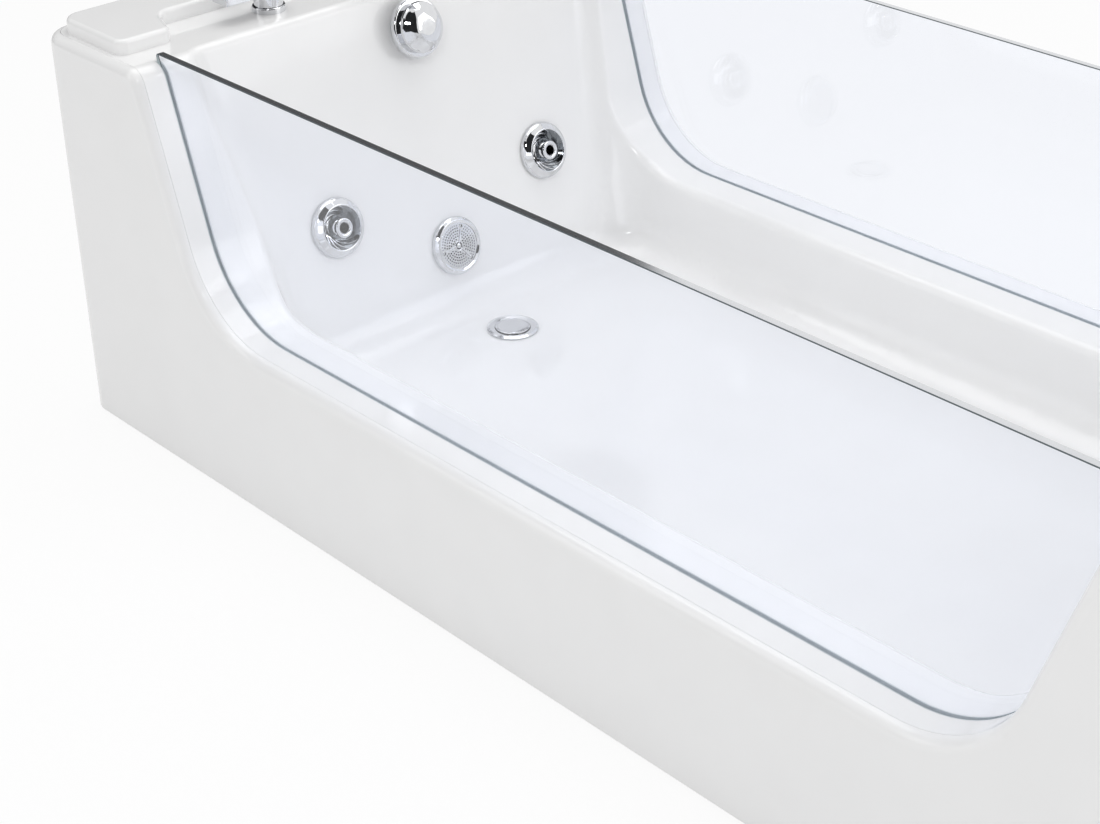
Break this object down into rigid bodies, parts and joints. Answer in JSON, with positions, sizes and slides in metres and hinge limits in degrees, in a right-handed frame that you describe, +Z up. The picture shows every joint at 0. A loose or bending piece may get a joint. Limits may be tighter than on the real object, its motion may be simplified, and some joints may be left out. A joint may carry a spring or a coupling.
{
  "type": "jetted bathtub",
  "caption": "Rectangular jetted bathtub with a deep rounded opening in each long side closed by a glass panel, chrome jets, suction, overflow knob and lever taps.",
  "frame": {"origin": "middle of the footprint, on the floor under the feet", "axes": "+X along the tub from the taps to the backrest, +Y from the near side to the far side, +Z up"},
  "size_m": [1.8, 0.85, 0.6459],
  "materials": {
    "white_acrylic": "smooth glossy",
    "clear_glass": "polished, faint green edge",
    "grey_rubber": "matt",
    "plywood": "raw",
    "zinc_steel": "zinc plated",
    "foot_plastic": "moulded",
    "screw_steel": "polished",
    "white_pvc": "moulded",
    "clear_hose": "flexible hose",
    "chrome": "mirror bright",
    "brass": "machined",
    "cable_sheath": "extruded",
    "motor_paint": "satin paint",
    "black_plastic": "moulded"
  },
  "bodies": {
    "tub": {"tub_shell": "white_acrylic", "skirt": "white_acrylic", "access_panel": "white_acrylic", "near_glass": "clear_glass", "far_glass": "clear_glass", "near_glass_seal": "grey_rubber", "far_glass_seal": "grey_rubber", "jet_gaskets": "grey_rubber", "suction_gasket": "grey_rubber", "overflow_gasket": "grey_rubber", "drain_gasket": "grey_rubber", "base_board": "plywood", "access_frame": "plywood", "support_frame": "zinc_steel", "foot_locknuts": "zinc_steel", "pump_base": "zinc_steel", "leveling_feet": "foot_plastic", "access_screws": "screw_steel", "suction_screws": "screw_steel", "jet_fittings": "white_pvc", "jet_bodies": "white_pvc", "suction_body": "white_pvc", "overflow_body": "white_pvc", "overflow_pipe": "white_pvc", "pressure_pipe": "white_pvc", "suction_pipe": "white_pvc", "drain_body": "white_pvc", "waste_trap": "white_pvc", "air_pipe": "clear_hose", "suction_rim": "chrome", "suction_grille": "chrome", "overflow_fitting": "chrome", "drain_flange": "chrome", "tap_rosettes": "chrome", "spout": "chrome", "start_bezel": "chrome", "air_control_body": "chrome", "valve_bodies": "brass", "tap_locknuts": "brass", "filler_pipe": "brass", "lift_cable": "cable_sheath", "pump_motor": "motor_paint", "suction_fitting": "black_plastic", "pump_volute": "black_plastic", "control_box": "black_plastic"},
    "near_foot_jet_ring": {"near_foot_jet_ring": "chrome"},
    "far_foot_jet_ring": {"far_foot_jet_ring": "chrome"},
    "near_back_jet_ring": {"near_back_jet_ring": "chrome"},
    "far_back_jet_ring": {"far_back_jet_ring": "chrome"},
    "near_foot_jet_nozzle": {"near_foot_jet_nozzle": "chrome"},
    "far_foot_jet_nozzle": {"far_foot_jet_nozzle": "chrome"},
    "near_back_jet_nozzle": {"near_back_jet_nozzle": "chrome"},
    "far_back_jet_nozzle": {"far_back_jet_nozzle": "chrome"},
    "overflow_knob": {"overflow_knob": "chrome"},
    "drain_plug": {"drain_plug": "chrome"},
    "hot_lever": {"hot_lever": "chrome"},
    "cold_lever": {"cold_lever": "chrome"},
    "start_button": {"start_button": "chrome"},
    "air_control_knob": {"air_control_knob": "chrome"},
    "impeller": {"impeller": "black_plastic"}
  },
  "joints": [
    {"name": "near_foot_jet_turn", "type": "hinge", "parent": "tub", "child": "near_foot_jet_ring", "pos_m": [-0.6239, -0.18, 0.277], "axis": [0.9578, 0, 0.2873], "range_deg": [0, 90]},
    {"name": "near_foot_jet_tilt", "type": "hinge", "parent": "near_foot_jet_ring", "child": "near_foot_jet_nozzle", "pos_m": [-0.6239, -0.18, 0.277], "axis": [0, 1, 0], "range_deg": [-15, 15]},
    {"name": "far_foot_jet_turn", "type": "hinge", "parent": "tub", "child": "far_foot_jet_ring", "pos_m": [-0.6239, 0.18, 0.277], "axis": [0.9578, 0, 0.2873], "range_deg": [0, 90]},
    {"name": "far_foot_jet_tilt", "type": "hinge", "parent": "far_foot_jet_ring", "child": "far_foot_jet_nozzle", "pos_m": [-0.6239, 0.18, 0.277], "axis": [0, 1, 0], "range_deg": [-15, 15]},
    {"name": "near_back_jet_turn", "type": "hinge", "parent": "tub", "child": "near_back_jet_ring", "pos_m": [0.6212, -0.18, 0.277], "axis": [-0.9285, 0, 0.3714], "range_deg": [0, 90]},
    {"name": "near_back_jet_tilt", "type": "hinge", "parent": "near_back_jet_ring", "child": "near_back_jet_nozzle", "pos_m": [0.6212, -0.18, 0.277], "axis": [0, 1, 0], "range_deg": [-15, 15]},
    {"name": "far_back_jet_turn", "type": "hinge", "parent": "tub", "child": "far_back_jet_ring", "pos_m": [0.6212, 0.18, 0.277], "axis": [-0.9285, 0, 0.3714], "range_deg": [0, 90]},
    {"name": "far_back_jet_tilt", "type": "hinge", "parent": "far_back_jet_ring", "child": "far_back_jet_nozzle", "pos_m": [0.6212, 0.18, 0.277], "axis": [0, 1, 0], "range_deg": [-15, 15]},
    {"name": "overflow_turn", "type": "hinge", "parent": "tub", "child": "overflow_knob", "pos_m": [-0.6866, 0, 0.486], "axis": [0.9578, 0, 0.2873], "range_deg": [0, 90]},
    {"name": "plug_lift", "type": "slide", "parent": "tub", "child": "drain_plug", "axis": [0, 0, 1], "range_m": [0, 0.012]},
    {"name": "hot_turn", "type": "hinge", "parent": "tub", "child": "hot_lever", "pos_m": [-0.755, -0.172, 0.545], "axis": [0, 0, 1], "range_deg": [0, 90]},
    {"name": "cold_turn", "type": "hinge", "parent": "tub", "child": "cold_lever", "pos_m": [-0.755, 0.172, 0.545], "axis": [0, 0, 1], "range_deg": [-90, 0]},
    {"name": "start_press", "type": "slide", "parent": "tub", "child": "start_button", "axis": [0, 0, -1], "range_m": [0, 0.003], "stiffness_N_per_m": 900, "springref_m": -0.001},
    {"name": "air_turn", "type": "hinge", "parent": "tub", "child": "air_control_knob", "pos_m": [-0.843, 0.25, 0.56], "axis": [0, 0, 1], "range_deg": [0, 270]},
    {"name": "impeller_spin", "type": "hinge", "parent": "tub", "child": "impeller", "pos_m": [-0.785, 0, 0.162], "axis": [0, 1, 0], "continuous": true}
  ],
  "couplings": [
    {"joint": "plug_lift", "follows": "overflow_turn", "m_per_rad": 0.0076394}
  ]
}
